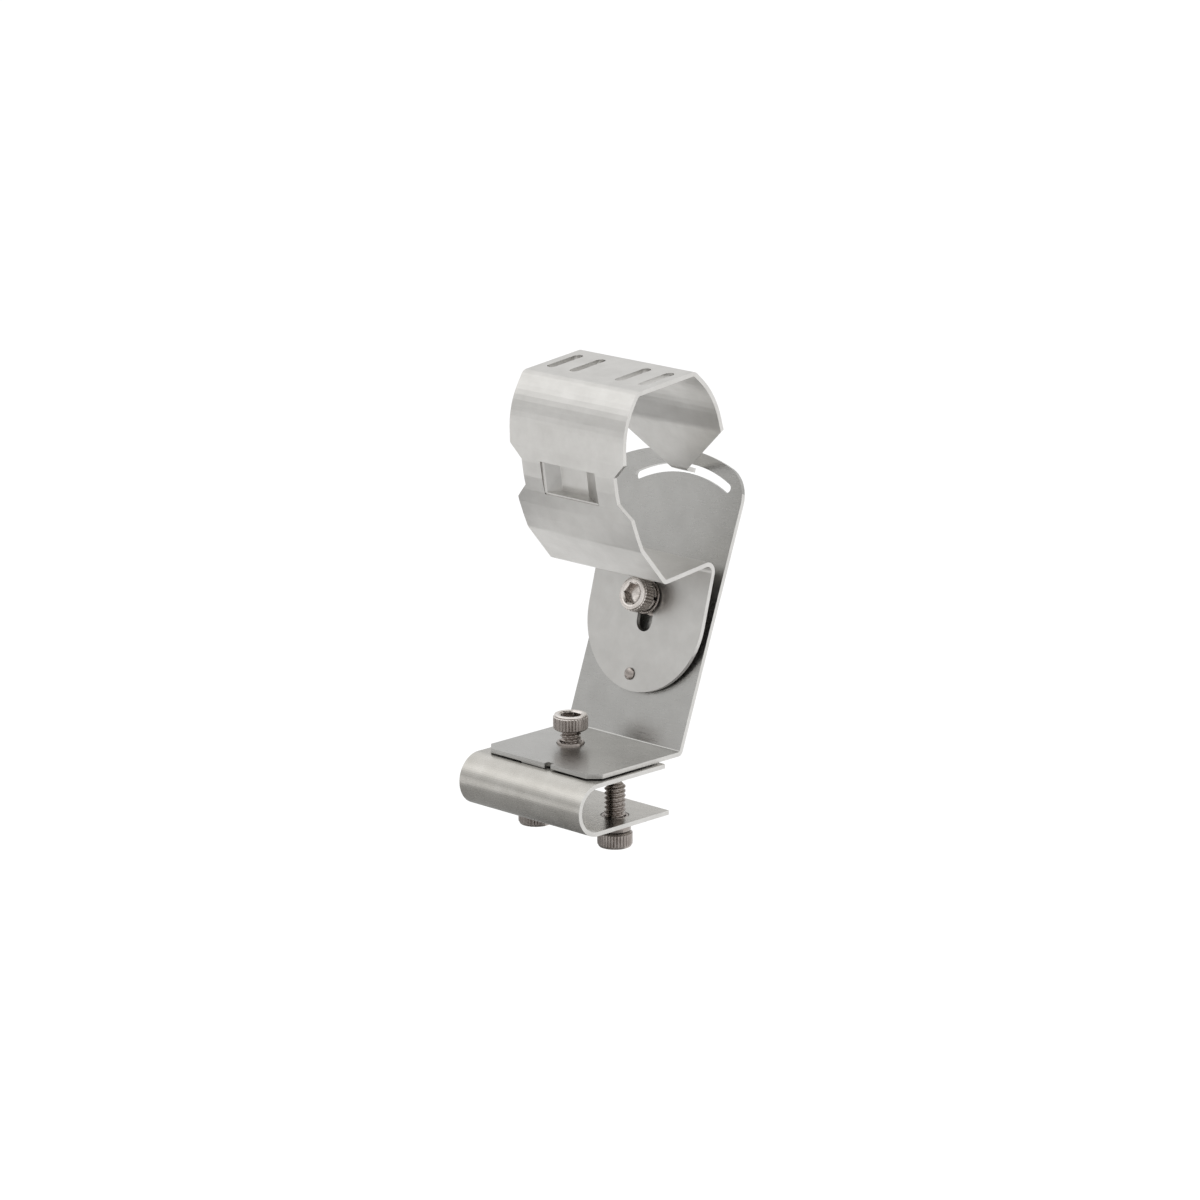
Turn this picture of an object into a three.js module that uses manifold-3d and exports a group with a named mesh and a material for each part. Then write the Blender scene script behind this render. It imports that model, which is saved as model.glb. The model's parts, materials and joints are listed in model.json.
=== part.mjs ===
// A clamp-on headphone hook in satin sheet metal.
// A U-shaped clip grips a panel's edge, an angle bracket is screwed on the clip,
// and a one-piece hook turns on the bracket's upright about a single screw.
//
// Millimetres. +Z is up, +X runs along every bend, -Y is the front.
// The origin is on the underside of the clip's top leg, midway between the clamp screws.

import * as THREE from 'three';
import { mergeVertices } from 'three/addons/utils/BufferGeometryUtils.js';
import Module from 'manifold-3d';

const wasm = await Module();
wasm.setup();

// ---------------------------------------------------------------- driving dimensions

const sheet = 1.0;          // thickness of the three formed pieces
const width = 34.9;         // of the bracket and the hook, along X
const restGap = 0.3;        // left between two formed pieces that rest on each other
const seatGap = 0.15;       // left between a fastener and what it bears on
const arcStep = 4;          // degrees in one facet of a bend
const roundSides = 24;      // facets round a fastener
const arcDivisions = 8;     // half the facets of an arc in an outline
const discDivisions = 48;   // the same, round the hook's disc

const clip = {
  width: 37.4,
  panelGap: 10.0,           // between the two legs
  rollFront: -17.9,         // foremost point of the roll
  topLegEnd: 9.5,
  bottomLegEnd: 10.8,
};

const plate = {
  top: sheet + restGap + sheet,   // height of the base plate's upper face
  front: -11.7,
  bend: 15.5,               // where the base plate and the upright meet
  bendRadius: 0.9,          // of the sheet's middle, as every other bend radius here
  cornerCut: 2.6,
  tabFrom: -5.2,            // the locating tab, along X
  tabTo: 2.0,
  tabNotch: 1.9,            // relief beside the tab
  notchDepth: 1.3,
  tabDrop: 1.6,             // how far the tab reaches into the clip
};

const upright = {
  lean: 20.2,               // degrees back from the vertical
  pivotUp: 31.9,            // from the bend to the pivot, along the upright
  flareUp: 40.0,            // where the left edge starts to run outwards
  flareTop: 46.0,           // where it stands straight again
  flare: 3.9,               // how far out it gets
  topUp: 66.6,              // crown of the arched top edge
  topX: -2.0,
  topRadius: 45.0,
  leftCorner: 1.8,
  rightCorner: 8.0,
  slotRadius: 30.5,         // middle of the arc slot, about the pivot
  slotWidth: 2.1,
  slotHalfAngle: 26.3,      // degrees to the centre of each round end
  slotTurn: 2.4,            // degrees that the slot's middle is turned to the left
};

const disc = {
  tilt: 5,                  // degrees between the disc and the upright
  footGap: 0.3,             // to the upright, at the disc's lowest point
  centreDrop: 4.0,          // from the pivot down to the centre of the round end
  slotFootDrop: 5.4,        // from the pivot down to the centre of the slot's lower end
  slotFootX: 0.2,
  slotWidth: 4.6,
  pinDrop: 17.7,            // from the pivot down to the index pin
  pinX: -1.2,
  pinRadius: 1.2,
};

const hook = {
  notchInset: 3.3,          // side notches of the front wall
  notchHeight: 6.1,         // of their straight part
  notchAt: 62.0,            // above the base plate
  slotXs: [-14, -7, 7, 14],
  slotLength: 10.4,
  slotWidth: 2.3,
  slotMiddle: -4.2,         // from the bend, along Y
  windowSize: 4.4,
  windowAt: 81.2,           // above the base plate
  tabX: -1.8,
  tabHalfWidth: 2.5,
  tabUp: 62.25,             // up the upright, to the tab's middle
  tabBend: 1.3,             // in front of the upright, where the rear wall turns into the tab
  tabPast: 0.3,             // how far the tab comes out behind the upright
  taperY: 13.4,             // from the bend, where the rear wall starts to narrow
  taperZ: 71.2,             // above the base plate
  pocketWidth: 16.8,        // a tray pressed into the front wall
  pocketHeight: 7.8,
  pocketAt: 61.6,           // above the base plate
  pocketDepth: 2.9,
  pocketLeftRamp: 2.6,
  pocketRightRamp: 5.8,
  pocketWall: 0.65,         // its upper and lower walls, thinned by the pressing
};

const screw = {
  headRadius: 3.96,
  headHeight: 3.6,
  socketAcross: 4.4,
  socketDepth: 2.1,
  shankRadius: 2.2,
  edge: 0.35,               // chamfer of the head and the tip
};

const washer = { outer: 3.9, inner: 2.55, thickness: 0.5, springThickness: 0.8 };
const clampScrew = { x: 12.4, length: 11.1 };
const clinch = { barrel: 3.1, flange: 3.6, flangeHeight: 2.2, bore: 2.45 };
const baseScrew = { x: -5.2, y: 3.9, liftOff: 3.2, collar: 0.5 };
const hexNut = { across: 9.5, thickness: 3.2 };

// ---------------------------------------------------------------- materials

const steel = (name, color, roughness) =>
  new THREE.MeshStandardMaterial({ name, color, roughness, metalness: 1 });

const satin = steel('satin sheet', 0xc9c6c0, 0.42);
const glossy = steel('smooth sheet', 0xb4b3b0, 0.3);
const stainless = steel('stainless fastener', 0x8b857e, 0.32);

// ---------------------------------------------------------------- solids

const degrees = THREE.MathUtils.degToRad;

/** A closed geometry as a manifold solid. */
function solid(geometry) {
  const bare = geometry.clone();
  bare.deleteAttribute('normal');
  bare.deleteAttribute('uv');
  const merged = mergeVertices(bare, 1e-5);
  return new wasm.Manifold(new wasm.Mesh({
    numProp: 3,
    vertProperties: new Float32Array(merged.attributes.position.array),
    triVerts: new Uint32Array(merged.index.array),
  }));
}

/** A manifold solid back as a geometry. */
function geometryOf(body) {
  const raw = body.getMesh();
  const geometry = new THREE.BufferGeometry();
  geometry.setAttribute('position', new THREE.BufferAttribute(raw.vertProperties, 3));
  geometry.setIndex(new THREE.BufferAttribute(raw.triVerts, 1));
  geometry.computeVertexNormals();
  return geometry;
}

/** Extrudes an outline along the third axis of a frame, evenly to both sides of its origin. */
function extrude(shape, depth, frame, divisions = arcDivisions) {
  const geometry = new THREE.ExtrudeGeometry(shape, {
    depth, bevelEnabled: false, curveSegments: divisions,
  });
  geometry.translate(0, 0, -depth / 2);
  geometry.applyMatrix4(frame);
  return solid(geometry);
}

/** A frame from its origin and its first two axes. */
function frameAt(origin, right, up) {
  const out = new THREE.Vector3().crossVectors(right, up);
  return new THREE.Matrix4().makeBasis(right, up, out).setPosition(origin);
}

const alongX = new THREE.Vector3(1, 0, 0);
const alongY = new THREE.Vector3(0, 1, 0);
const alongZ = new THREE.Vector3(0, 0, 1);

/** The frame of a face that stands across X and leans back by an angle. */
function leaningFrame(y, z, angle) {
  const up = new THREE.Vector3(0, Math.sin(degrees(angle)), Math.cos(degrees(angle)));
  return frameAt(new THREE.Vector3(0, y, z), alongX, up);
}

const profileFrame = frameAt(new THREE.Vector3(), alongY, alongZ);
const planFrame = (z) => frameAt(new THREE.Vector3(0, 0, z), alongX, alongY);

function polygon(...corners) {
  return new THREE.Shape(corners.map(([x, y]) => new THREE.Vector2(x, y)));
}

function rectangle(left, bottom, right, top) {
  return polygon([left, bottom], [right, bottom], [right, top], [left, top]);
}

/** A slot with round ends between two points. */
function slotShape(x0, y0, x1, y1, slotWidth) {
  const turn = Math.atan2(y1 - y0, x1 - x0);
  const shape = new THREE.Shape();
  shape.absarc(x1, y1, slotWidth / 2, turn - Math.PI / 2, turn + Math.PI / 2);
  shape.absarc(x0, y0, slotWidth / 2, turn + Math.PI / 2, turn + Math.PI * 1.5);
  return shape;
}

function diskShape(radius, x = 0, y = 0) {
  return new THREE.Shape().absarc(x, y, radius, 0, Math.PI * 2);
}

/** The middle line of a bent sheet: straight runs with an arc at each corner. */
function bentLine(corners) {
  const points = [];
  corners.forEach(([x, y, radius = 0], i) => {
    const here = new THREE.Vector2(x, y);
    if (radius === 0) {
      points.push(here);
      return;
    }
    const back = new THREE.Vector2(...corners[i - 1]).sub(here).normalize();
    const ahead = new THREE.Vector2(...corners[i + 1]).sub(here).normalize();
    const turn = Math.PI - Math.acos(back.dot(ahead));
    const reach = radius * Math.tan(turn / 2);
    const bisector = back.clone().add(ahead).normalize();
    const centre = here.clone().addScaledVector(bisector, radius / Math.cos(turn / 2));
    const from = here.clone().addScaledVector(back, reach).sub(centre);
    const side = Math.sign(ahead.cross(back));
    const steps = Math.max(2, Math.ceil(turn / degrees(arcStep)));
    for (let k = 0; k <= steps; k += 1) {
      const spin = side * turn * k / steps;
      points.push(from.clone().rotateAround(new THREE.Vector2(), spin).add(centre));
    }
  });
  return points;
}

/** The outline of a sheet of the common thickness around its middle line. */
function sheetOutline(line) {
  const offset = (amount) => line.map((point, i) => {
    const before = line[Math.max(i - 1, 0)];
    const after = line[Math.min(i + 1, line.length - 1)];
    const into = point.clone().sub(before).normalize();
    const outOf = after.clone().sub(point).normalize();
    const along = into.add(outOf).normalize();
    const bend = point.clone().sub(before).normalize();
    const stretch = i > 0 && i < line.length - 1 ? along.dot(bend) : 1;
    return point.clone().add(new THREE.Vector2(-along.y, along.x).multiplyScalar(amount / stretch));
  });
  return new THREE.Shape([...offset(sheet / 2), ...offset(-sheet / 2).reverse()]);
}

/** A sheet bent along a middle line in the Y-Z plane. */
const bentSheet = (corners, across) => extrude(
  sheetOutline(bentLine(corners)), across, profileFrame);

/** Subtracts several cutters from a body. */
const cut = (body, cutters) => cutters.reduce((rest, cutter) => rest.subtract(cutter), body);

/** A round piece turned about +Z from half of its section. */
function turned(section, sides = roundSides) {
  const points = section.map(([radius, z]) => new THREE.Vector2(radius, z));
  const geometry = new THREE.LatheGeometry(points, sides);
  geometry.rotateX(Math.PI / 2);
  return solid(geometry);
}

// ---------------------------------------------------------------- places

const seatPlane = 0;
const legUnderside = -clip.panelGap - sheet;
const baseHole = new THREE.Vector3(baseScrew.x, baseScrew.y, 0);
const uprightFrame = leaningFrame(plate.bend, plate.top, upright.lean);

/** A point of the upright's plane: how far up it, and how far in front of it, as Y and Z. */
function offUpright(up, front) {
  const point = new THREE.Vector3(0, up, front).applyMatrix4(uprightFrame);
  return [point.y, point.z];
}

// ---------------------------------------------------------------- the formed pieces

function clampClip() {
  const radius = clip.panelGap / 2 + sheet / 2;
  const topMiddle = sheet / 2;
  const bottomMiddle = legUnderside + sheet / 2;
  const rollFace = clip.rollFront + sheet / 2;
  const bend = radius - 0.001;
  const body = bentSheet([
    [clip.topLegEnd, topMiddle],
    [rollFace, topMiddle, bend],
    [rollFace, bottomMiddle, bend],
    [clip.bottomLegEnd, bottomMiddle],
  ], clip.width);
  const leg = 2 * sheet;
  const clinchHole = (x) => extrude(
    diskShape(clinch.barrel + restGap / 2, x, 0), leg, planFrame(bottomMiddle));
  const tabSlit = rectangle(
    plate.tabFrom - restGap, plate.front - restGap,
    plate.tabTo + restGap, plate.front + sheet + restGap);
  return cut(body, [
    clinchHole(-clampScrew.x),
    clinchHole(clampScrew.x),
    extrude(diskShape(clinch.barrel + restGap / 2, baseScrew.x, baseScrew.y), leg, planFrame(topMiddle)),
    extrude(tabSlit, leg, planFrame(topMiddle)),
  ]);
}

function angleBracket() {
  const middle = plate.top - sheet / 2;
  const topCorner = offUpright(upright.topUp + 1, -sheet / 2);
  const sharpBend = offUpright(0, -sheet / 2);
  const drop = Math.tan(degrees(upright.lean)) * (sharpBend[1] - middle);
  const body = bentSheet([
    [plate.front, middle],
    [sharpBend[0] - drop, middle, plate.bendRadius],
    topCorner,
  ], width + 2 * upright.flare);
  const half = width / 2;
  const past = half + 1;
  const cornerCutter = (side) => extrude(polygon(
    [side * (half - plate.cornerCut), plate.front],
    [side * (half - plate.cornerCut), plate.front - 1],
    [side * past, plate.front - 1],
    [side * past, plate.front + plate.cornerCut],
    [side * half, plate.front + plate.cornerCut]), 2 * sheet, planFrame(middle));
  const blankX = half + upright.flare + 1;
  const sideStrip = (side) => extrude(rectangle(
    Math.min(side * half, side * blankX), plate.front - 1,
    Math.max(side * half, side * blankX), plate.bend + 1), 4 * sheet, planFrame(middle));
  const notch = extrude(rectangle(
    plate.tabTo, plate.front - 1,
    plate.tabTo + plate.tabNotch, plate.front + plate.notchDepth), 2 * sheet, planFrame(middle));
  const tab = extrude(rectangle(
    plate.tabFrom, plate.front,
    plate.tabTo, plate.front + sheet), plate.tabDrop + sheet, planFrame(plate.top - (plate.tabDrop + sheet) / 2));
  const baseScrewHole = extrude(
    diskShape(clinch.barrel + restGap / 2, baseScrew.x, baseScrew.y), 2 * sheet, planFrame(middle));

  const throughUpright = (shape) => extrude(shape, 4 * sheet, uprightFrame);
  const pivotHole = throughUpright(diskShape(washer.inner, 0, upright.pivotUp));
  return cut(body.add(tab), [
    sideStrip(-1),
    sideStrip(1),
    cornerCutter(-1),
    cornerCutter(1),
    notch,
    baseScrewHole,
    pivotHole,
    throughUpright(arcSlotShape()),
    throughUpright(besideHeadShape()),
  ]);
}

/** The slot that the hook's tab travels in. */
function arcSlotShape() {
  const { slotRadius, slotWidth, pivotUp, slotHalfAngle } = upright;
  const half = degrees(slotHalfAngle);
  const middle = Math.PI / 2 + degrees(upright.slotTurn);
  const end = (angle) => [
    slotRadius * Math.cos(angle), pivotUp + slotRadius * Math.sin(angle), slotWidth / 2];
  const shape = new THREE.Shape();
  shape.absarc(0, pivotUp, slotRadius + slotWidth / 2, middle - half, middle + half);
  shape.absarc(...end(middle + half), middle + half, middle + half + Math.PI);
  shape.absarc(0, pivotUp, slotRadius - slotWidth / 2, middle + half, middle - half, true);
  shape.absarc(...end(middle - half), middle - half - Math.PI, middle - half);
  return shape;
}

/** Everything beside and above the upright: its sides, the flared head and the arched top. */
function besideHeadShape() {
  const { flareUp, flareTop, flare, topUp, topX, topRadius, leftCorner, rightCorner } = upright;
  const half = width / 2;
  const headLeft = half + flare;
  const past = headLeft + 1;
  const ceiling = topUp + 2;
  const centreUp = topUp - topRadius;
  // The centre of a corner arc that runs from a side edge into the arch.
  const corner = (edgeX, radius) => {
    const x = edgeX - Math.sign(edgeX) * radius;
    const up = centreUp + Math.sqrt((topRadius - radius) ** 2 - (x - topX) ** 2);
    return { x, up, angle: Math.atan2(up - centreUp, x - topX) };
  };
  const left = corner(-headLeft, leftCorner);
  const right = corner(half, rightCorner);
  const shape = new THREE.Shape();
  shape.moveTo(half, -1);
  shape.lineTo(past, -1);
  shape.lineTo(past, ceiling);
  shape.lineTo(-past, ceiling);
  shape.lineTo(-past, -1);
  shape.lineTo(-half, -1);
  shape.lineTo(-half, flareUp);
  shape.lineTo(-headLeft, flareTop);
  shape.lineTo(-headLeft, left.up);
  shape.absarc(left.x, left.up, leftCorner, Math.PI, left.angle, true);
  shape.absarc(topX, centreUp, topRadius, left.angle, right.angle, true);
  shape.absarc(right.x, right.up, rightCorner, right.angle, 0, true);
  return shape;
}

const discFoot = upright.pivotUp - disc.centreDrop - width / 2;
const discRise = Math.tan(degrees(disc.tilt));
const discMiddle = (up) => disc.footGap + sheet / 2 + (up - discFoot) * discRise;
const discFrame = leaningFrame(
  ...offUpright(upright.pivotUp, discMiddle(upright.pivotUp)), upright.lean - disc.tilt);

/** The hook's middle line, from the disc's foot round to the end of the tab. */
function hookLine() {
  const at = (y, z, radius) => [plate.bend + y, plate.top + z, radius];
  return [
    offUpright(discFoot, discMiddle(discFoot)),
    [...offUpright(43.2, discMiddle(43.2)), 2.0],
    at(-4.8, 39.9, 1.2),
    at(-12.2, 48.4, 2.5),
    at(-17.8, 61.1, 50),
    at(-17.8, 77.0, 17),
    at(-13.7, 83.6, 1.5),
    at(4.4, 85.5, 1.5),
    at(10.98, 79.58, 20),
    at(hook.taperY, hook.taperZ, 8),
    [...offUpright(hook.tabUp, hook.tabBend), 1.2],
    offUpright(hook.tabUp, -sheet - hook.tabPast),
  ];
}

function hookBody() {
  const half = width / 2;
  const past = half + 1;
  const body = bentSheet(hookLine(), width);

  // The disc's round end, in the disc's own plane.
  const below = extrude(
    rectangle(-past, -disc.centreDrop - past, past, -disc.centreDrop), 4 * sheet, discFrame);
  const round = extrude(
    diskShape(half, 0, -disc.centreDrop), 6 * sheet, discFrame, discDivisions);
  const throughDisc = (shape) => extrude(shape, 4 * sheet, discFrame);
  const pivotSlot = throughDisc(
    slotShape(0, 0, disc.slotFootX, -disc.slotFootDrop, disc.slotWidth));
  const pinHole = throughDisc(diskShape(disc.pinRadius + restGap / 2, disc.pinX, -disc.pinDrop));

  // The rear wall narrows to the tab on both sides.
  const [footY, footZ] = offUpright(hook.tabUp, hook.tabBend);
  const fall = new THREE.Vector2(
    plate.bend + hook.taperY - footY, plate.top + hook.taperZ - footZ);
  const fallAngle = THREE.MathUtils.radToDeg(Math.atan2(fall.x, fall.y));
  const tabReach = 4;
  const taper = (side) => extrude(polygon(
    [side * past, fall.length() + 1],
    [side * (half + 0.01), fall.length()],
    [hook.tabX + side * hook.tabHalfWidth, 0],
    [hook.tabX + side * hook.tabHalfWidth, -tabReach],
    [side * past, -tabReach]), 6 * sheet, leaningFrame(footY, footZ, fallAngle));

  // The notches in both sides of the front wall, with 45 degree shoulders.
  const straight = hook.notchHeight / 2;
  const shoulder = straight + hook.notchInset;
  const notchUp = plate.top + hook.notchAt;
  const frontFrame = frameAt(
    new THREE.Vector3(0, plate.bend - 17, notchUp), alongX, alongZ);
  const sideNotch = (side) => extrude(polygon(
    [side * past, shoulder + 1],
    [side * half, shoulder],
    [side * (half - hook.notchInset), straight],
    [side * (half - hook.notchInset), -straight],
    [side * half, -shoulder],
    [side * past, -shoulder - 1]), 8, frontFrame);

  const topMiddle = plate.top + 84.6;
  const run = (hook.slotLength - hook.slotWidth) / 2;
  const slotY = plate.bend + hook.slotMiddle;
  const topSlots = hook.slotXs.map((x) => extrude(
    slotShape(x, slotY - run, x, slotY + run, hook.slotWidth), 6, planFrame(topMiddle)));

  const windowHalf = hook.windowSize / 2;
  const windowFrame = frameAt(
    new THREE.Vector3(0, plate.bend + 8.6, plate.top + hook.windowAt), alongX, alongZ);
  const rearWindow = extrude(
    rectangle(-windowHalf, -windowHalf, windowHalf, windowHalf), 10, windowFrame);

  const opened = cut(body, [
    below.subtract(round), pivotSlot, pinHole, taper(-1), taper(1),
    sideNotch(-1), sideNotch(1), ...topSlots, rearWindow,
  ]);
  return withPocket(opened);
}

/** Presses a tray into the front wall: sloped at its sides, square at its top and bottom. */
function withPocket(body) {
  const wallY = plate.bend - 16.35;
  const frame = leaningFrame(wallY, plate.top + hook.pocketAt, -8.2);
  const half = hook.pocketWidth / 2;
  const high = hook.pocketHeight / 2;
  const { pocketDepth, pocketLeftRamp, pocketRightRamp, pocketWall } = hook;
  const window = extrude(rectangle(-half, -high, half, high), 4 * sheet, frame);
  const lap = 0.8;
  const bend = 0.7;
  const floor = bentLine([
    [-half - lap, 0],
    [-half, 0, bend],
    [-half + pocketLeftRamp, pocketDepth, bend],
    [half - pocketRightRamp, pocketDepth, bend],
    [half, 0, bend],
    [half + lap, 0],
  ]);
  // The end walls stay this far inside the sheet's own surfaces.
  const inset = 0.1;
  const front = -sheet / 2 + 2 * inset;
  const back = sheet / 2 - inset;
  const endWall = polygon(
    [-half + inset, front],
    [half - inset, front],
    [half - inset, back],
    [half - pocketRightRamp - inset, pocketDepth + back],
    [-half + pocketLeftRamp + inset, pocketDepth + back],
    [-half + inset, back]);
  // The tray's own frame: along X, then inwards, extruded up the wall.
  const tray = frame.clone().multiply(new THREE.Matrix4().makeBasis(
    alongX, new THREE.Vector3(0, 0, -1), alongY));
  const wallAt = (up) => extrude(
    endWall, pocketWall, tray.clone().multiply(new THREE.Matrix4().makeTranslation(0, 0, up)));
  const rim = 0.25;            // from the floor's ends to the edges of the opening
  const wallUp = high + rim - pocketWall / 2;
  return body.subtract(window)
    .add(extrude(sheetOutline(floor), hook.pocketHeight - 2 * rim, tray))
    .add(wallAt(wallUp))
    .add(wallAt(-wallUp));
}

// ---------------------------------------------------------------- fasteners, turned about +Z

/** A socket-head screw: its bearing face at zero, its head above, its shank below. */
function socketScrew(length) {
  const { headRadius, headHeight, shankRadius, edge } = screw;
  const body = turned([
    [0, -length],
    [shankRadius - edge, -length],
    [shankRadius, -length + edge],
    [shankRadius, 0],
    [headRadius - edge / 2, 0],
    [headRadius, edge / 2],
    [headRadius, headHeight - edge],
    [headRadius - edge, headHeight],
    [0, headHeight],
  ]);
  const socket = new THREE.CylinderGeometry(
    screw.socketAcross / Math.sqrt(3), screw.socketAcross / Math.sqrt(3), 2 * screw.socketDepth, 6);
  socket.rotateX(Math.PI / 2);
  socket.translate(0, 0, headHeight);
  return body.subtract(solid(socket));
}

function ring(outer, inner, from, to) {
  return turned([[inner, from], [outer, from], [outer, to], [inner, to], [inner, from]]);
}

/** A clinched nut: a barrel in the sheet, from zero up, and a flange under it. */
function clinchNut() {
  return turned([
    [clinch.bore, -seatGap - clinch.flangeHeight],
    [clinch.flange, -seatGap - clinch.flangeHeight],
    [clinch.flange, -seatGap],
    [clinch.barrel, -seatGap],
    [clinch.barrel, sheet],
    [clinch.bore, sheet],
    [clinch.bore, -seatGap - clinch.flangeHeight],
  ]);
}

/** The plain bush that the base screw holds in; its collar stands a little above the plate. */
function baseBush() {
  return ring(clinch.barrel, clinch.bore, seatPlane, plate.top + baseScrew.collar);
}

/** A split lock washer, from zero up. */
function springWasher() {
  const whole = ring(washer.outer - 0.3, washer.inner, 0, washer.springThickness);
  const slit = extrude(rectangle(0, -0.35, washer.outer + 1, 0.35), 8, planFrame(0));
  return whole.subtract(slit);
}

function flatWasher() {
  return ring(washer.outer, washer.inner, 0, washer.thickness);
}

function pivotNut() {
  const { across, thickness } = hexNut;
  const blank = new THREE.CylinderGeometry(
    across / Math.sqrt(3), across / Math.sqrt(3), thickness, 6);
  blank.rotateX(Math.PI / 2);
  blank.translate(0, 0, -thickness / 2);
  const bore = turned([[0, -thickness - 1], [clinch.bore, -thickness - 1], [clinch.bore, 1], [0, 1]]);
  return solid(blank).subtract(bore);
}

/** A headed pin, set through the disc from its front. */
function indexPin() {
  const dome = 0.55;
  const rim = 1.4;
  const front = sheet / 2 + seatGap;
  const section = [[0, -sheet / 2], [disc.pinRadius, -sheet / 2], [disc.pinRadius, front]];
  for (let k = 0; k <= 5; k += 1) {
    const angle = Math.PI / 2 * k / 5;
    section.push([rim * Math.cos(angle), front + dome * Math.sin(angle)]);
  }
  section[section.length - 1][0] = 0;
  return turned(section, 16);
}

// ---------------------------------------------------------------- the assembly

const object = new THREE.Group();

function put(name, body, material, parent = object) {
  const mesh = new THREE.Mesh(geometryOf(body), material);
  mesh.name = name;
  parent.add(mesh);
  return mesh;
}

function groupIn(frame, parent = object) {
  const group = new THREE.Group();
  group.applyMatrix4(frame);
  parent.add(group);
  return group;
}

put('clamp_clip', clampClip(), satin);
put('angle_bracket', angleBracket(), glossy);
put('hook', hookBody(), satin);

// The clamp screws stand head down, and the nuts clinched in the lower leg carry them.
for (const [side, x] of [['left', -clampScrew.x], ['right', clampScrew.x]]) {
  put(`${side}_clinch_nut`, clinchNut(), stainless).position.set(x, 0, legUnderside);
  const clamp = put(`${side}_clamp_screw`, socketScrew(clampScrew.length), stainless);
  clamp.position.set(x, 0, legUnderside - clinch.flangeHeight - 2 * seatGap);
  clamp.rotation.x = Math.PI;
}

// The base screw is backed off a little above its bush.
const baseStack = new THREE.Group();
baseStack.position.copy(baseHole);
object.add(baseStack);
put('base_bush', baseBush(), stainless, baseStack);
const baseBearing = plate.top + baseScrew.liftOff;
put('base_screw', socketScrew(baseBearing - restGap), stainless, baseStack).position.z = baseBearing;

// Everything on the pivot, along the upright's own normal.
const pivot = groupIn(uprightFrame.clone().multiply(
  new THREE.Matrix4().makeTranslation(0, upright.pivotUp, 0)));
const washerReach = washer.outer * discRise;
const discFace = discMiddle(upright.pivotUp) + sheet / 2 + washerReach;
const flatWasherAt = discFace + seatGap;
const springWasherAt = flatWasherAt + washer.thickness + seatGap;
const pivotBearing = springWasherAt + washer.springThickness + seatGap;
const rearWasherAt = -sheet - seatGap - washer.thickness;
put('pivot_screw', socketScrew(12.7), stainless, pivot).position.z = pivotBearing;
put('pivot_spring_washer', springWasher(), stainless, pivot).position.z = springWasherAt;
put('pivot_flat_washer', flatWasher(), stainless, pivot).position.z = flatWasherAt;
put('pivot_spacer', ring(washer.outer, washer.inner, 0, 1.0), stainless, pivot).position.z = seatGap;
put('rear_washer', flatWasher(), stainless, pivot).position.z = rearWasherAt;
put('pivot_nut', pivotNut(), stainless, pivot).position.z = rearWasherAt - seatGap;

// The index pin sits in the disc's lower part and turns with it.
const pinFrame = discFrame.clone().multiply(
  new THREE.Matrix4().makeTranslation(disc.pinX, -disc.pinDrop, 0));
put('index_pin', indexPin(), stainless, groupIn(pinFrame));

export default object;
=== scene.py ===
"""Headphone hook in satin sheet metal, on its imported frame.

The sheets are the frame's own bodies with rolled edges; the fasteners are rebuilt in detail
on the axes that the frame gives them. Lengths below are millimetres until they are scaled.
"""

import json
import math

import bmesh
import bpy
from mathutils import Matrix, Vector


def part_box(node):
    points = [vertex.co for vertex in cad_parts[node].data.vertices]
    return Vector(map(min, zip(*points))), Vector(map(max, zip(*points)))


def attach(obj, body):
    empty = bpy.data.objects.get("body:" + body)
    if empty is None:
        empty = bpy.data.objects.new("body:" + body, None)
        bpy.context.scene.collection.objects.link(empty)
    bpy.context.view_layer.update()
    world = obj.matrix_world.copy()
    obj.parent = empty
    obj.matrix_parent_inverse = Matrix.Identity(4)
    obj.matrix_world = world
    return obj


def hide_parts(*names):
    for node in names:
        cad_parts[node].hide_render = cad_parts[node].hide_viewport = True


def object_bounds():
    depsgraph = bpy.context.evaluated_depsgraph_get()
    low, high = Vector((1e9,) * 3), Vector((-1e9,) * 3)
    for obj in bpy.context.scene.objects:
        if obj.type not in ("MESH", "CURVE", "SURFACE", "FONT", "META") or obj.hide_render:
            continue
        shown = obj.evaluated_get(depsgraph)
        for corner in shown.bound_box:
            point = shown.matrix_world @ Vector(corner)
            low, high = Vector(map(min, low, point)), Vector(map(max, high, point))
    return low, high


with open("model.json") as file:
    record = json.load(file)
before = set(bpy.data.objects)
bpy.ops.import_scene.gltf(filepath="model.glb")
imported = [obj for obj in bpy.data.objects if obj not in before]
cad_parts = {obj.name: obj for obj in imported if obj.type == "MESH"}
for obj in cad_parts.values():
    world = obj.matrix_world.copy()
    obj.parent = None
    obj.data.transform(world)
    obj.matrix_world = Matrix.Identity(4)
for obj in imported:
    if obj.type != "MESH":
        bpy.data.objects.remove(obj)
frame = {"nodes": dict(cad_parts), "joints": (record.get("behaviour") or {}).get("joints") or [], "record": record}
cad_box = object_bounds()
nodes = frame["nodes"]

MM = 0.001
TAU = 2 * math.pi

# Camera: the direction it looks from, the point it looks at (mm), how far away it is, and its lens
CAMERA_AZIMUTH = 44.13
CAMERA_ELEVATION = 14.5
CAMERA_AIM = (-9.1, 17.4, 32.2)
CAMERA_DISTANCE = 1.1274
LENS_MM = 150.0
SENSOR_MM = 36.0

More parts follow.
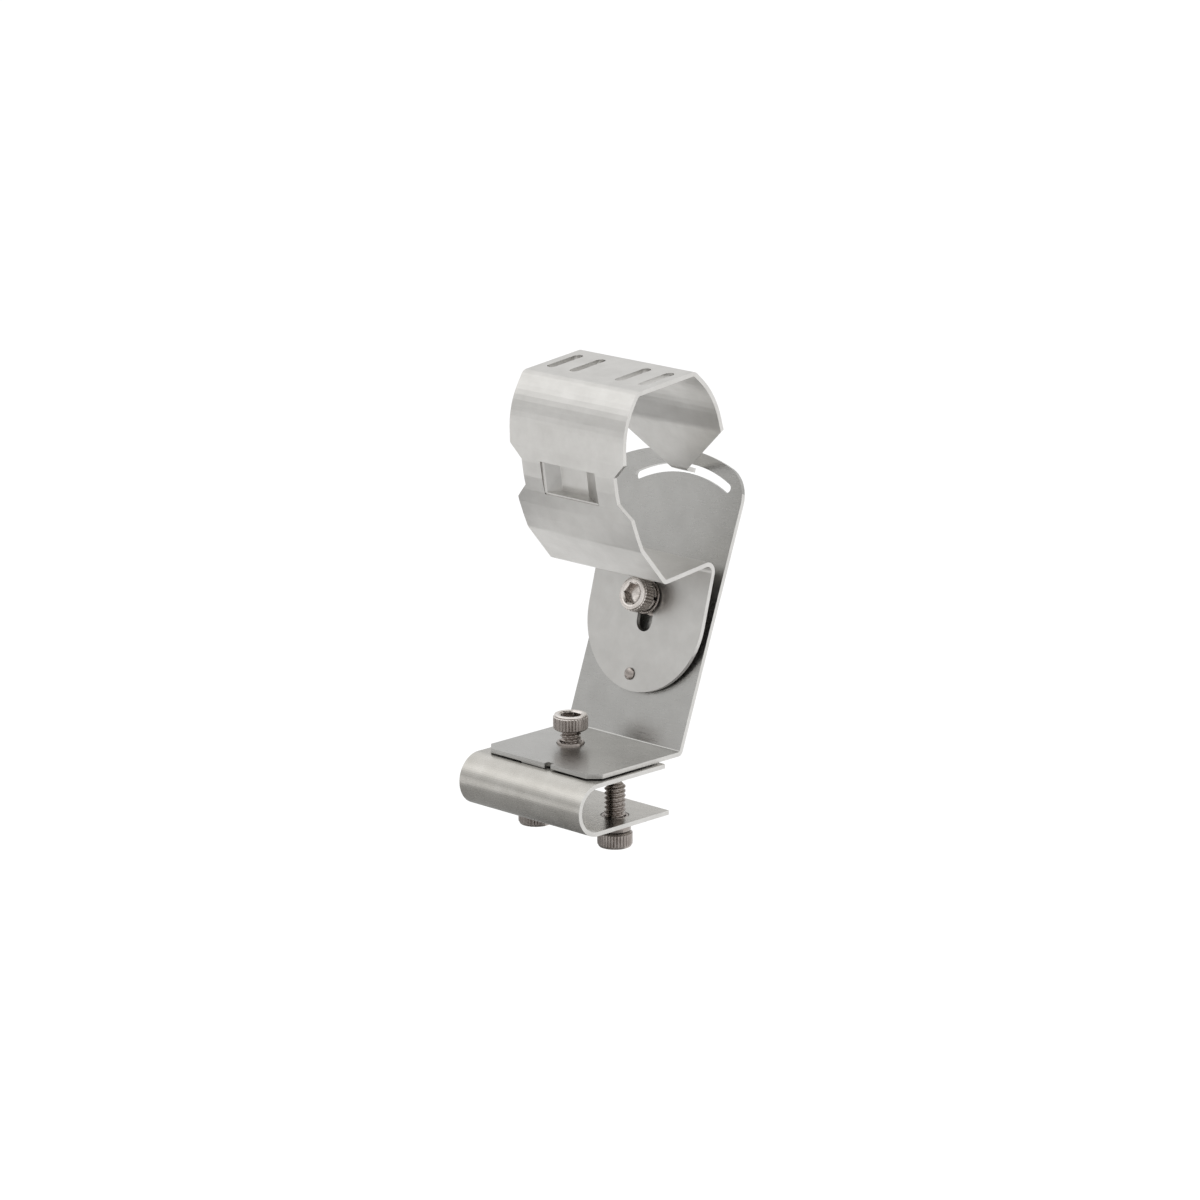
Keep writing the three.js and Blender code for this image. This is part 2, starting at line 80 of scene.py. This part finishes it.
# Stage, in metres. A place is measured from the origin, a light's from the object's middle
FLOOR_DROP = 0.25
FLOOR_RADIUS = 6.0
CARD_DROP = 0.008
# Cards seen only in reflections: painted shade, standing for the shaded floor close to the object
CARDS = (
    # name, low corner, high corner, grey
    ("card_under_roll", (-0.065, -0.14), (0.04, 0.005), 0.42),
    ("card_beside", (-0.19, -0.09), (-0.10, 0.0), 0.20),
    ("card_before", (0.09, -0.17), (0.20, -0.06), 0.20),
)
LIGHTS = (
    # name, place, size, watts
    ("key", (-0.70, -0.70, 0.80), (0.7, 0.7), 0.6),
    ("side", (0.95, 0.55, 0.20), (0.5, 0.5), 0.3),
)
MATTE_ROUGHNESS = 0.9

# Fastener detail, in millimetres
THREAD_PITCH = 1.058
THREAD_MAJOR = 2.38
THREAD_MINOR = 1.92
THREAD_BEVEL = 0.35         # how far the thread's foot is bevelled inwards
THREAD_FLANK = 2.3          # steepness of its flanks
THREAD_CREST = 1.25         # above 1, this cuts its crests flat
RINGS_PER_TURN = 12
KNURL_TEETH = 32
KNURL_DEPTH = 0.2
KNURL_PROFILE = (0.0, 0.1, 1.0, 0.1)   # depth of each point of a tooth, as a share of KNURL_DEPTH
POINTS_PER_TOOTH = len(KNURL_PROFILE)
SIDES = KNURL_TEETH * POINTS_PER_TOOTH
SOCKET_ACROSS = 4.4
SOCKET_DEPTH = 2.1
TURNED_END_UP = 1.0         # a head's level faces are bright metal from this far above its underside; all else is steel painted darker, painted shade
LEVEL_ENOUGH = 0.4          # a face is level when its normal lies this much along the axis
THREADED_BORE = 2.45        # radius, in the nuts pressed into the clip and in the bush
WASHER_BORE = 2.55

EDGE_ROLL = 0.11 * MM       # radius of the deburred sheet edges
# The cut sides picked out by these take a lighter metal: rougher sheared steel, with a painted highlight for the
# light from the right
OUTER_EDGE_X = 17.0         # the sheets' cut sides stand further out than this
NOTCH_EDGE_X = 10.0         # and so do the notches, which are also in front of NOTCH_EDGE_Y
NOTCH_EDGE_Y = 3.0
SIDEWAYS = 0.95             # and their normals lie at least this much along X
DISC_TILT = 5.0             # degrees between the hook's disc and the upright


# ------------------------------------------------------------------ places from the frame

def on_pivot(node):
    """Whether a fastener is one of the stack along the hook's tilt axis."""
    return node.startswith(("pivot", "rear"))


def axis_of(node):
    """The unit vector a fastener stands along: +Z, or the tilt axis for what sits on the pivot."""
    if on_pivot(node):
        return Vector(tilt["axis"]).normalized()
    return Vector((0, 0, 1))


def centre_line(node):
    """(point on the axis at its low end, length, largest radius) of a turned CAD node."""
    axis = axis_of(node)
    points = [v.co.copy() for v in nodes[node].data.vertices]
    heights = [p.dot(axis) for p in points]
    low, high = min(heights), max(heights)
    flat = [p - axis * h for p, h in zip(points, heights)]
    if on_pivot(node):
        pivot = Vector(tilt["pos_m"])
        middle = pivot - axis * pivot.dot(axis)
    else:
        box_low, box_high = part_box(node)
        middle = (box_low + box_high) / 2
        middle.z = 0
    radius = max((p - middle).length for p in flat)
    return middle + axis * low, high - low, radius


def standing_at(foot, axis, flipped=False):
    """The matrix that puts a piece made about +Z in millimetres with its foot at a point."""
    up = -axis if flipped else axis
    turn = up.to_track_quat("Z", "Y").to_matrix().to_4x4()
    return Matrix.Translation(foot) @ turn @ Matrix.Scale(MM, 4)


tilt = next(joint for joint in frame["joints"] if joint["name"] == "hook_tilt")
body_of_node = {
    node: body
    for body, members in frame["record"]["behaviour"]["bodies"].items()
    for node in members
}


# ------------------------------------------------------------------ mesh making

def linked_object(name, mesh):
    """An object in the scene from a finished bmesh, which is freed."""
    data = bpy.data.meshes.new(name)
    mesh.to_mesh(data)
    mesh.free()
    piece = bpy.data.objects.new(name, data)
    bpy.context.scene.collection.objects.link(piece)
    return piece


def ringed_mesh(name, rings, matrix, closed=False):
    """An object from rings of equal count.

    The first and the last ring are capped, unless the rings close on themselves.
    """
    mesh = bmesh.new()
    loops = [[mesh.verts.new(point) for point in ring] for ring in rings]
    following = loops[1:] + loops[:1] if closed else loops[1:]
    for low, high in zip(loops, following):
        count = len(low)
        for i in range(count):
            j = (i + 1) % count
            mesh.faces.new((low[i], low[j], high[j], high[i]))
    if not closed:
        for loop, flip in ((loops[0], True), (loops[-1], False)):
            centre = mesh.verts.new(sum((v.co for v in loop), Vector()) / len(loop))
            for i in range(len(loop)):
                j = (i + 1) % len(loop)
                corners = (loop[j], loop[i], centre) if flip else (loop[i], loop[j], centre)
                mesh.faces.new(corners)
    mesh.transform(matrix)
    bmesh.ops.recalc_face_normals(mesh, faces=mesh.faces)
    return linked_object(name, mesh)


def ring_at(z, radius, sides=SIDES):
    """A ring whose radius is a number or a function of the angle."""
    reach = radius if callable(radius) else (lambda angle: radius)
    angles = [TAU * i / sides for i in range(sides)]
    return [(reach(a) * math.cos(a), reach(a) * math.sin(a), z) for a in angles]


def hexagon(across, corner=1.0):
    """The radius of a hexagon at an angle, its corners cut to a share of their full reach."""
    apothem = across / 2
    full = apothem / math.cos(math.pi / 6)

    def radius(angle):
        within = (angle % (math.pi / 3)) - math.pi / 6
        return min(apothem / math.cos(within), full * corner)
    return radius


def knurl(radius, depth=KNURL_DEPTH):
    """The radius of a straight knurl at an angle: flat-topped teeth with narrow grooves between."""
    def reach(angle):
        step = round(angle / TAU * SIDES) % POINTS_PER_TOOTH
        return radius - depth * KNURL_PROFILE[step]
    return reach


def thread(z):
    """The radius of a screw thread at a height above its foot: a helix, bevelled at the foot."""
    def reach(angle):
        turn = (z / THREAD_PITCH - angle / TAU) % 1.0
        ridge = max(0.0, 1 - abs(turn - 0.5) * THREAD_FLANK)
        height = (THREAD_MAJOR - THREAD_MINOR) * min(1.0, ridge * THREAD_CREST)
        foot_radius = THREAD_MINOR - THREAD_BEVEL
        return min(THREAD_MINOR + height, foot_radius + z)
    return reach


def finish_piece(piece, node, material, smooth_angle=32, bright_above=None):
    """Shades a fastener, puts it on its body and lets it replace its CAD node.

    bright_above is a point, an axis and a height: the level faces above it are turned steel, and every other face
    keeps the darker copy, painted shade for the knurl grooves and thread.
    """
    for polygon in piece.data.polygons:
        polygon.use_smooth = True
        if bright_above:
            foot, axis, height = bright_above
            above = (polygon.center - foot).dot(axis) > height * MM
            # Level faces above the height get the bright copy; the rest keeps the darker copy, painted shade
            polygon.material_index = int(above and abs(polygon.normal.dot(axis)) > LEVEL_ENOUGH)
    piece.data.set_sharp_from_angle(angle=math.radians(smooth_angle))
    piece.data.materials.append(material)
    piece.data.materials.append(turned_steel)
    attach(piece, body_of_node[node])
    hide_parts(node)


# ------------------------------------------------------------------ fasteners

def socket_screw(node, head_height=3.6, flipped=False):
    """A knurled socket-head cap screw with its full thread, on the axis of its CAD node."""
    foot, total, head_radius = centre_line(node)
    axis = axis_of(node)
    if flipped:
        foot = foot + axis * total
    length = total / MM - head_height
    radius = head_radius / MM
    rings = [ring_at(0, THREAD_MINOR - 0.75)]
    steps = int(length / THREAD_PITCH * RINGS_PER_TURN)
    for k in range(steps + 1):
        z = length * k / steps
        rings.append(ring_at(z, thread(z)))
    face = length + head_height
    floor = face - SOCKET_DEPTH
    groove = radius - KNURL_DEPTH
    mouth = SOCKET_ACROSS / 2 / math.cos(math.pi / 6) + 0.12
    hexagonal = hexagon(SOCKET_ACROSS)
    rings += [
        ring_at(length, radius - 0.5),
        ring_at(length + 0.12, radius - 0.32),
        ring_at(length + 0.3, groove),
        ring_at(length + 0.42, knurl(radius)),
        ring_at(face - 0.62, knurl(radius)),
        ring_at(face - 0.5, groove),
        ring_at(face - 0.2, groove - 0.04),
        ring_at(face - 0.05, groove - 0.16),
        ring_at(face, groove - 0.34),
        ring_at(face, mouth + 0.12),
        ring_at(face - 0.05, mouth),
        ring_at(face - 0.32, hexagonal),
        ring_at(floor, hexagonal),
        ring_at(floor - 0.02, 1.6),
        ring_at(floor - 0.45, 0.4),
    ]
    piece = ringed_mesh(f"{node}_detail", rings, standing_at(foot, axis, flipped))
    up = -axis if flipped else axis
    bright_above = (foot, up, length + TURNED_END_UP)
    finish_piece(piece, node, fastener_steel_painted_shade, bright_above=bright_above)


def washer_rings(outer, inner, thickness, roll=0.14):
    """A flat ring's section as rings, its four corners rolled."""
    return [
        ring_at(0, inner + roll), ring_at(0, outer - roll),
        ring_at(roll * 0.3, outer - roll * 0.3), ring_at(roll, outer),
        ring_at(thickness - roll, outer), ring_at(thickness - roll * 0.3, outer - roll * 0.3),
        ring_at(thickness, outer - roll), ring_at(thickness, inner + roll),
        ring_at(thickness - roll * 0.3, inner + roll * 0.3), ring_at(thickness - roll, inner),
        ring_at(roll, inner), ring_at(roll * 0.3, inner + roll * 0.3),
    ]


def flat_washer(node, inner=WASHER_BORE):
    """A flat washer, or the plain spacer, with rolled corners."""
    foot, thickness, outer = centre_line(node)
    rings = washer_rings(outer / MM, inner, thickness / MM)
    piece = ringed_mesh(f"{node}_detail", rings, standing_at(foot, axis_of(node)), closed=True)
    finish_piece(piece, node, fastener_steel_painted_shade)


def spring_washer(node, inner=WASHER_BORE, gap_turn=0.035):
    """A split lock washer: a square wire wound through most of a turn, its ends offset."""
    foot, height, outer = centre_line(node)
    outer, height = outer / MM, height / MM
    wire = height * 0.78
    corner = 0.1
    section = [
        (inner + corner, 0), (outer - corner, 0), (outer, corner), (outer, wire - corner),
        (outer - corner, wire), (inner + corner, wire), (inner, wire - corner), (inner, corner),
    ]
    turns = 90
    rings = []
    for k in range(turns + 1):
        share = k / turns
        angle = TAU * (gap_turn / 2 + (1 - gap_turn) * share)
        lift = (height - wire) * share
        rings.append([(r * math.cos(angle), r * math.sin(angle), z + lift) for r, z in section])
    piece = ringed_mesh(f"{node}_detail", rings, standing_at(foot, axis_of(node)))
    finish_piece(piece, node, fastener_steel_painted_shade)


def hex_nut(node):
    """A chamfered hexagon nut with its bore."""
    foot, thickness, corner_reach = centre_line(node)
    thickness /= MM
    across = corner_reach / MM * 2 * math.cos(math.pi / 6)
    flats = hexagon(across)
    cone = across / 2 - 0.1

    def outline(from_face):
        return lambda angle: min(flats(angle), cone + from_face * math.sqrt(3))

    bore = THREAD_MAJOR + 0.05
    heights = [0, 0.12, 0.25, 0.4]
    rings = [ring_at(h, outline(h)) for h in heights]
    rings += [ring_at(thickness - h, outline(h)) for h in reversed(heights)]
    rings += [
        ring_at(thickness, bore + 0.35), ring_at(thickness - 0.35, bore),
        ring_at(0.35, bore), ring_at(0, bore + 0.35),
    ]
    piece = ringed_mesh(f"{node}_detail", rings, standing_at(foot, axis_of(node)), closed=True)
    finish_piece(piece, node, fastener_steel_painted_shade)


def clinch_nut(node, flange_height=2.2, barrel=3.1, bore=THREADED_BORE):
    """A nut pressed into the clip's lower leg: a flange and a finely toothed barrel."""
    foot, height, outer = centre_line(node)
    outer, height = outer / MM, height / MM
    teeth = knurl(barrel, 0.06)
    rings = [
        ring_at(0.25, bore), ring_at(0, bore + 0.25), ring_at(0, outer - 0.25),
        ring_at(0.08, outer - 0.08), ring_at(0.25, outer), ring_at(flange_height - 0.15, outer),
        ring_at(flange_height - 0.04, outer - 0.04), ring_at(flange_height, outer - 0.15),
        ring_at(flange_height, barrel), ring_at(flange_height + 0.1, teeth),
        ring_at(height - 0.12, teeth), ring_at(height, barrel - 0.14),
        ring_at(height, bore + 0.2), ring_at(height - 0.2, bore),
    ]
    piece = ringed_mesh(f"{node}_detail", rings, standing_at(foot, axis_of(node)), closed=True)
    finish_piece(piece, node, fastener_steel_painted_shade)


def base_bush(node="base_bush", bore=THREADED_BORE, roll=0.18):
    """The bush that the base screw holds in, its collar rounded over the plate."""
    foot, height, outer = centre_line(node)
    outer, height = outer / MM, height / MM
    rings = [
        ring_at(0.2, bore), ring_at(0, bore + 0.2), ring_at(0, outer - 0.2), ring_at(0.2, outer),
        ring_at(height - roll, outer), ring_at(height - roll * 0.3, outer - roll * 0.3),
        ring_at(height, outer - roll), ring_at(height, bore + roll),
        ring_at(height - roll * 0.3, bore + roll * 0.3), ring_at(height - roll, bore),
    ]
    piece = ringed_mesh(f"{node}_detail", rings, standing_at(foot, axis_of(node)), closed=True)
    finish_piece(piece, node, fastener_steel_painted_shade)


def index_pin(node="index_pin", stem=1.2, rim=1.4, dome=0.55, sides=48):
    """A pin with a domed head through the disc, standing across it."""
    points = [v.co for v in nodes[node].data.vertices]
    across_upright = Vector(tilt["axis"]).normalized()
    axis = Matrix.Rotation(math.radians(DISC_TILT), 3, "X") @ across_upright
    heights = [p.dot(axis) for p in points]
    tip = max(points, key=lambda p: p.dot(axis))
    total = (max(heights) - min(heights)) / MM
    under = total - dome
    rings = [
        ring_at(0, stem - 0.15, sides), ring_at(0.15, stem, sides), ring_at(under, stem, sides),
        ring_at(under, rim - 0.05, sides), ring_at(under + 0.05, rim, sides),
    ]
    for k in range(1, 7):
        angle = math.pi / 2 * k / 7
        rings.append(ring_at(
            under + 0.05 + (dome - 0.05) * math.sin(angle), rim * math.cos(angle), sides))
    rings.append(ring_at(total - 0.004, 0.12, sides))
    piece = ringed_mesh(f"{node}_detail", rings, standing_at(tip - axis * total * MM, axis))
    finish_piece(piece, node, fastener_steel_painted_shade)


# ------------------------------------------------------------------ materials

def new_material(name):
    """(material, its node tree, its Principled shader)."""
    material = bpy.data.materials.new(name)
    material.use_nodes = True
    tree = material.node_tree
    return material, tree, tree.nodes["Principled BSDF"]


def scaled_noise(tree, scale, detail, stretch, roughness=0.6):
    """Noise in the piece's own coordinates, in cycles per metre, stretched per axis."""
    place = tree.nodes.new("ShaderNodeTexCoord")
    mapping = tree.nodes.new("ShaderNodeMapping")
    mapping.inputs["Scale"].default_value = stretch
    noise = tree.nodes.new("ShaderNodeTexNoise")
    noise.inputs["Scale"].default_value = scale
    noise.inputs["Detail"].default_value = detail
    noise.inputs["Roughness"].default_value = roughness
    tree.links.new(place.outputs["Object"], mapping.inputs["Vector"])
    tree.links.new(mapping.outputs["Vector"], noise.inputs["Vector"])
    return noise.outputs["Fac"]


def spread(tree, value, low, high, from_low=0.3, from_high=0.7):
    """A value mapped in a straight line from one range to another, and held at its ends."""
    node = tree.nodes.new("ShaderNodeMapRange")
    node.inputs["From Min"].default_value = from_low
    node.inputs["From Max"].default_value = from_high
    node.inputs["To Min"].default_value = low
    node.inputs["To Max"].default_value = high
    tree.links.new(value, node.inputs["Value"])
    return node.outputs["Result"]


def mixed_colour(tree, value, dark, light):
    """A colour that runs from dark to light over the middle of a value's range."""
    ramp = tree.nodes.new("ShaderNodeValToRGB")
    ramp.color_ramp.elements[0].position = 0.3
    ramp.color_ramp.elements[0].color = (*dark, 1)
    ramp.color_ramp.elements[1].position = 0.7
    ramp.color_ramp.elements[1].color = (*light, 1)
    tree.links.new(value, ramp.inputs["Fac"])
    return ramp.outputs["Color"]


def sheet_metal(name, dark, light, roughness, grain_depth, grain_axis):
    """Rolled sheet: a faint mottle in its colour, and a fine grain in its gloss and surface."""
    material, tree, shader = new_material(name)
    stretch = {"X": (0.05, 1, 1), "Z": (1, 1, 0.05)}[grain_axis]
    mottle = scaled_noise(tree, 190, 4, (1, 1, 1))
    grain = scaled_noise(tree, 5200, 3, stretch, 0.7)
    shader.inputs["Metallic"].default_value = 1.0
    tree.links.new(mixed_colour(tree, mottle, dark, light), shader.inputs["Base Color"])
    tree.links.new(
        spread(tree, grain, roughness - 0.05, roughness + 0.05), shader.inputs["Roughness"])
    bump = tree.nodes.new("ShaderNodeBump")
    bump.inputs["Strength"].default_value = 0.35
    bump.inputs["Distance"].default_value = grain_depth * MM
    tree.links.new(grain, bump.inputs["Height"])
    tree.links.new(bump.outputs["Normal"], shader.inputs["Normal"])
    return material


def matte_grey(name, shade):
    """A rough, even grey for the stage."""
    material, _, shader = new_material(name)
    shader.inputs["Base Color"].default_value = (shade, shade, shade, 1)
    shader.inputs["Roughness"].default_value = MATTE_ROUGHNESS
    return material


def fastener_metal(name, dark, light):
    """Stainless with a slight warm cast and fine turning marks."""
    material, tree, shader = new_material(name)
    marks = scaled_noise(tree, 2600, 4, (1, 1, 1), 0.65)
    cloud = scaled_noise(tree, 420, 3, (1, 1, 1))
    shader.inputs["Metallic"].default_value = 1.0
    tree.links.new(mixed_colour(tree, cloud, dark, light), shader.inputs["Base Color"])
    tree.links.new(spread(tree, marks, 0.2, 0.34), shader.inputs["Roughness"])
    bump = tree.nodes.new("ShaderNodeBump")
    bump.inputs["Strength"].default_value = 0.25
    bump.inputs["Distance"].default_value = 0.01 * MM
    tree.links.new(marks, bump.inputs["Height"])
    tree.links.new(bump.outputs["Normal"], shader.inputs["Normal"])
    return material


satin_sheet = sheet_metal(
    "satin_sheet", dark=(0.53, 0.52, 0.50), light=(0.60, 0.59, 0.57),
    roughness=0.34, grain_depth=0.012, grain_axis="X")
clip_sheet = sheet_metal(
    "clip_sheet", dark=(0.44, 0.425, 0.395), light=(0.51, 0.495, 0.465),
    roughness=0.28, grain_depth=0.012, grain_axis="X")
smooth_sheet = sheet_metal(
    "smooth_sheet", dark=(0.43, 0.425, 0.41), light=(0.47, 0.465, 0.45),
    roughness=0.30, grain_depth=0.006, grain_axis="X")
# Rougher sheared metal for the cut sides, its lighter colour a painted highlight for the light from the right
cut_edge_painted_highlight = sheet_metal(
    "cut_edge_painted_highlight", dark=(0.62, 0.61, 0.59), light=(0.68, 0.67, 0.65),
    roughness=0.5, grain_depth=0.004, grain_axis="Z")
# Two copies of one stainless: the darker one, on every fastener face but a head's level end faces, is painted
# shade for the knurl grooves and threads; turned_steel is the same steel without that shade
fastener_steel_painted_shade = fastener_metal("fastener_steel_painted_shade", (0.29, 0.255, 0.235), (0.41, 0.375, 0.35))
turned_steel = fastener_metal("turned_steel", (0.66, 0.61, 0.57), (0.76, 0.72, 0.69))


def dress_sheet(node, material):
    """Rolls the edges of a CAD sheet and gives its faces and its cut sides their metals; the cut sides' lighter
    colour is a painted highlight.
    """
    piece = nodes[node]
    piece.data.materials.clear()
    piece.data.materials.append(material)
    piece.data.materials.append(cut_edge_painted_highlight)
    for polygon in piece.data.polygons:
        polygon.use_smooth = True
        aside = abs(polygon.center.x) / MM
        in_notch = aside > NOTCH_EDGE_X and polygon.center.y < NOTCH_EDGE_Y * MM
        on_flank = aside > OUTER_EDGE_X or in_notch
        # Sideways cut faces take the lighter metal: a painted highlight
        if on_flank and abs(polygon.normal.x) > SIDEWAYS:
            polygon.material_index = 1
    piece.data.set_sharp_from_angle(angle=math.radians(25))
    roll = piece.modifiers.new("rolled_edges", "BEVEL")
    roll.width = EDGE_ROLL
    roll.segments = 2
    roll.limit_method = "ANGLE"
    roll.angle_limit = math.radians(35)
    roll.harden_normals = True
    weigh = piece.modifiers.new("flat_faces_stay_flat", "WEIGHTED_NORMAL")
    weigh.keep_sharp = True
    weigh.weight = 100


dress_sheet("clamp_clip", clip_sheet)
dress_sheet("angle_bracket", smooth_sheet)
dress_sheet("hook", satin_sheet)
socket_screw("pivot_screw")
socket_screw("base_screw")
socket_screw("left_clamp_screw", flipped=True)
socket_screw("right_clamp_screw", flipped=True)
for node in ("pivot_flat_washer", "pivot_spacer", "rear_washer"):
    flat_washer(node)
spring_washer("pivot_spring_washer")
for node in ("left_clinch_nut", "right_clinch_nut"):
    clinch_nut(node)
hex_nut("pivot_nut")
base_bush()
index_pin()


# ------------------------------------------------------------------ stage, light and camera

def area_light(name, place, aim, size, watts):
    """A white rectangular light at a place, turned to a point."""
    light = bpy.data.lights.new(name, "AREA")
    light.shape = "RECTANGLE"
    light.size, light.size_y = size
    light.energy = watts
    lamp = bpy.data.objects.new(name, light)
    lamp.location = place
    lamp.rotation_euler = (Vector(aim) - Vector(place)).to_track_quat("-Z", "Y").to_euler()
    bpy.context.scene.collection.objects.link(lamp)


def pale_floor(height):
    """A wide pale disc under the object."""
    mesh = bmesh.new()
    bmesh.ops.create_circle(mesh, cap_ends=True, segments=64, radius=FLOOR_RADIUS)
    floor = linked_object("floor", mesh)
    floor.location.z = height
    floor.data.materials.append(matte_grey("pale_floor", 0.93))


def reflected_shade_card(name, low, high, height, shade):
    """A flat grey card near the object that only its reflections show: painted shade in those reflections, for the
    shaded floor beside the object.
    """
    mesh = bmesh.new()
    corners = ((low[0], low[1]), (high[0], low[1]), (high[0], high[1]), (low[0], high[1]))
    mesh.faces.new([mesh.verts.new((x, y, height)) for x, y in corners])
    card = linked_object(name, mesh)
    card.visible_camera = False
    card.visible_diffuse = False
    card.visible_shadow = False
    card.data.materials.append(matte_grey(name, shade))


def camera_axes():
    """The camera's right, its up, and the direction back from its aim to it."""
    a = math.radians(CAMERA_AZIMUTH)
    e = math.radians(CAMERA_ELEVATION)
    back = Vector((math.sin(a) * math.cos(e), -math.cos(a) * math.cos(e), math.sin(e)))
    right = Vector((math.cos(a), math.sin(a), 0))
    return right, back.cross(right), back


def place_camera():
    """Puts the camera CAMERA_DISTANCE back from the point it looks at, level from side to side."""
    right, up, back = camera_axes()
    eye = Vector(CAMERA_AIM) * MM + back * CAMERA_DISTANCE
    camera = bpy.data.objects.new("camera", bpy.data.cameras.new("camera"))
    camera.data.lens = LENS_MM
    camera.data.sensor_width = SENSOR_MM
    camera.data.clip_start = 0.01
    camera.data.clip_end = 50
    turn = Matrix((right, up, back)).transposed()
    camera.matrix_world = Matrix.Translation(eye) @ turn.to_4x4()
    bpy.context.scene.collection.objects.link(camera)
    bpy.context.scene.camera = camera


def light_room(horizon, low, high):
    """A studio with a pale horizon, a dimmer band above it and a bright ceiling, all the way round.

    Each strength starts at the height beside it, as a share of straight up.
    """
    world = bpy.data.worlds.new("studio")
    bpy.context.scene.world = world
    world.use_nodes = True
    tree = world.node_tree
    direction = tree.nodes.new("ShaderNodeTexCoord")
    split = tree.nodes.new("ShaderNodeSeparateXYZ")
    tree.links.new(direction.outputs["Generated"], split.inputs["Vector"])
    height = split.outputs["Z"]
    ceiling = spread(tree, height, low[0], high[0], low[1], high[1])
    rim = spread(tree, height, horizon[0] - low[0], 0, horizon[1], low[1])
    both = tree.nodes.new("ShaderNodeMath")
    both.operation = "ADD"
    tree.links.new(ceiling, both.inputs[0])
    tree.links.new(rim, both.inputs[1])
    background = tree.nodes["Background"]
    background.inputs["Color"].default_value = (1, 1, 1, 1)
    tree.links.new(both.outputs["Value"], background.inputs["Strength"])


middle = (cad_box[0] + cad_box[1]) / 2
pale_floor(cad_box[0].z - FLOOR_DROP)
light_room(horizon=(1.06, 0.04), low=(0.58, 0.11), high=(1.22, 0.6))
for name, low, high, shade in CARDS:
    reflected_shade_card(name, low, high, cad_box[0].z - CARD_DROP, shade)
for name, place, size, watts in LIGHTS:
    area_light(name, middle + Vector(place), middle, size, watts)
place_camera()

bpy.context.scene.view_settings.view_transform = "Standard"
